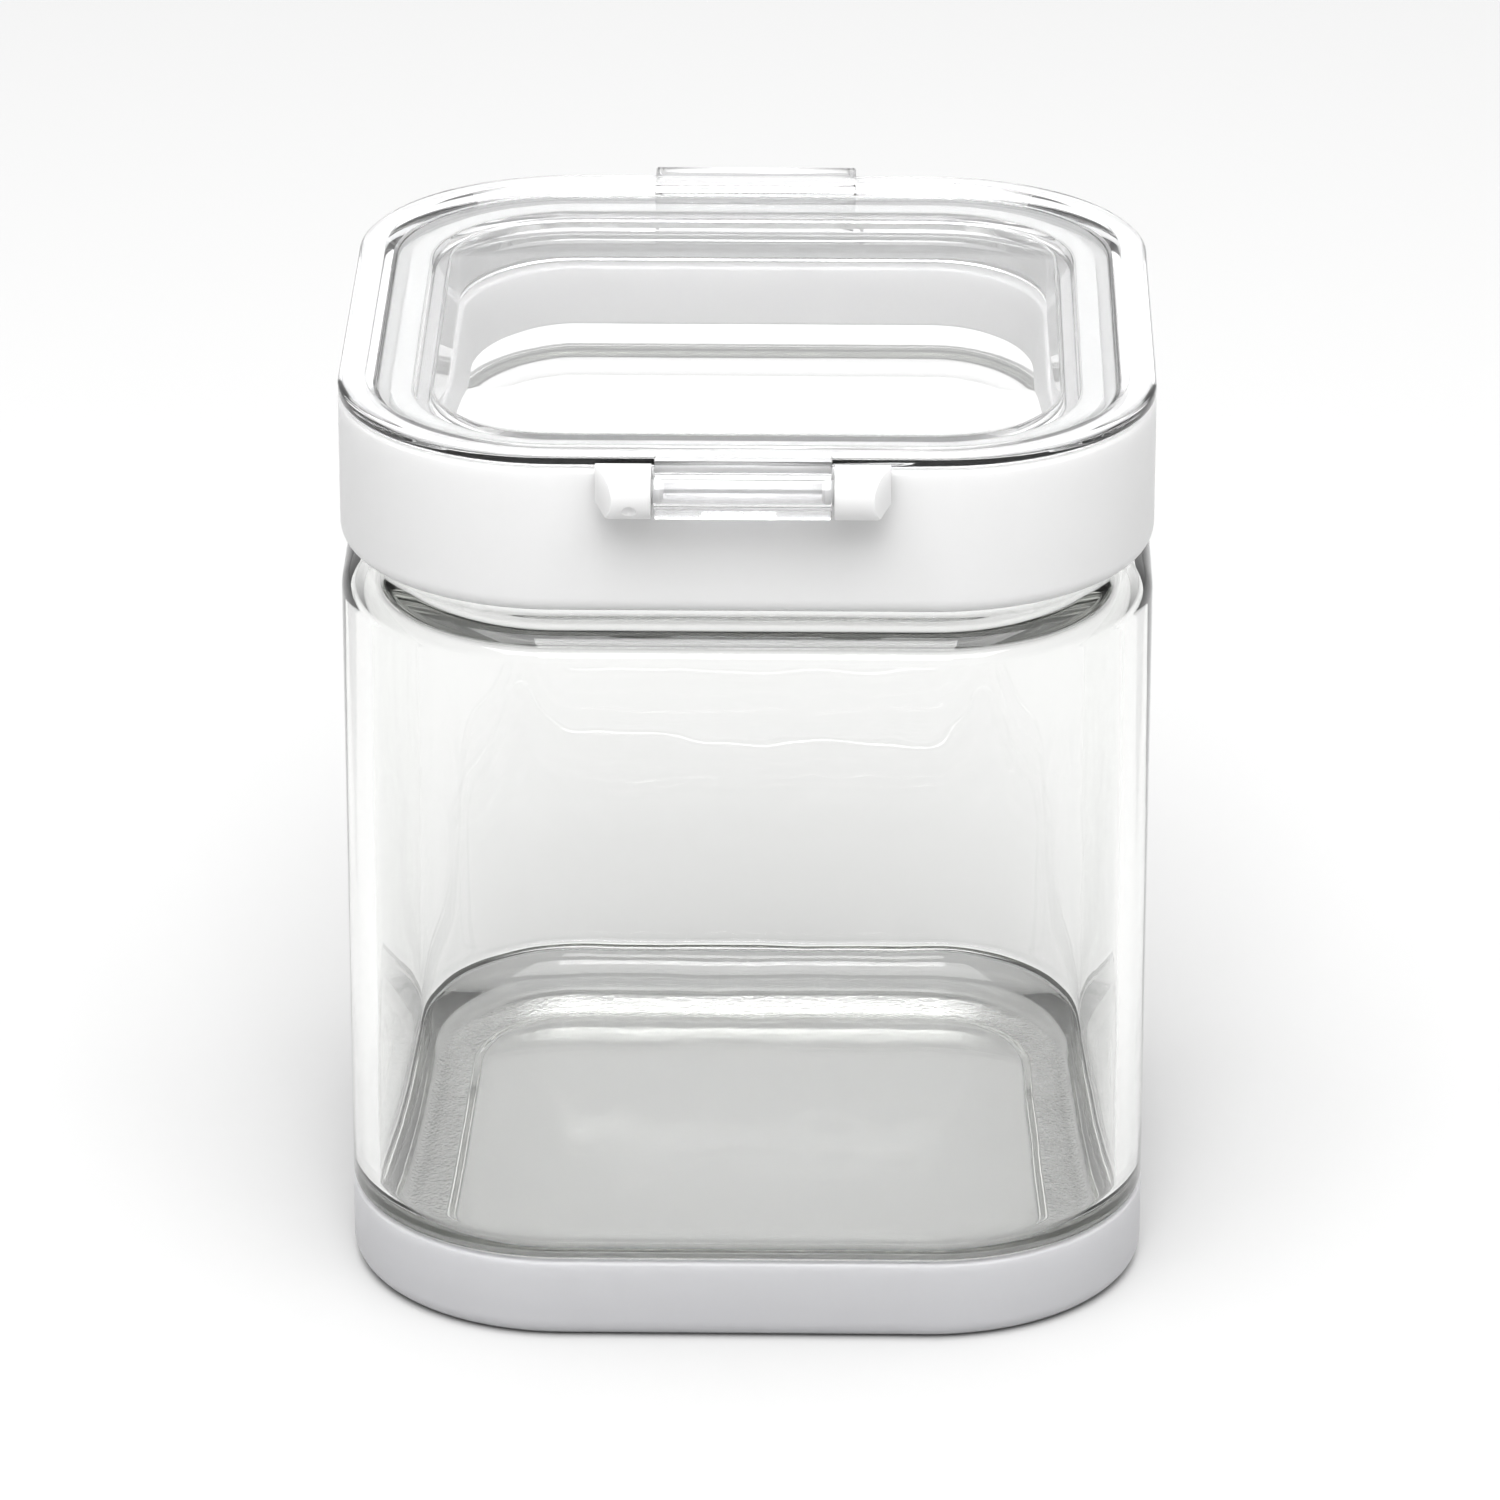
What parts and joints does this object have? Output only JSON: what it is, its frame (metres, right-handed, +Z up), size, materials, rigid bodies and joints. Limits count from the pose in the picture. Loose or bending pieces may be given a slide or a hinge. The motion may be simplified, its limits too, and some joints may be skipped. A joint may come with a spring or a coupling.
{
  "type": "lidded glass canister",
  "caption": "Square glass storage canister with a white base cup, a white collar on the neck and a clear flip lid with a silicone seal and a thumb tab.",
  "frame": {"origin": "middle of the base cup's underside, on the table", "axes": "+Z up through the lid, +Y towards the thumb tab, -Y towards the hinge, +X to the right seen from the hinge"},
  "size_m": [0.1, 0.1111, 0.1185],
  "materials": {
    "clear_glass": "clear pressed glass, faint grey-green tint in thick sections",
    "white_cup": "white moulded plastic, satin",
    "white_collar": "white moulded plastic, satin",
    "clear_plastic": "clear moulded plastic, polished",
    "silicone": "translucent milky silicone"
  },
  "bodies": {
    "jar": {"glass_jar": "clear_glass", "base_cup": "white_cup"},
    "collar": {"collar": "white_collar", "neck_seal": "silicone"},
    "lid": {"flip_lid": "clear_plastic", "lid_seal": "silicone"}
  },
  "joints": [
    {"name": "collar_lift", "type": "slide", "parent": "jar", "child": "collar", "axis": [0, 0, 1], "range_m": [0, 0.03]},
    {"name": "lid_hinge", "type": "hinge", "parent": "collar", "child": "lid", "pos_m": [0, -0.05375, 0.1152], "axis": [1, 0, 0], "range_deg": [0, 180]}
  ]
}
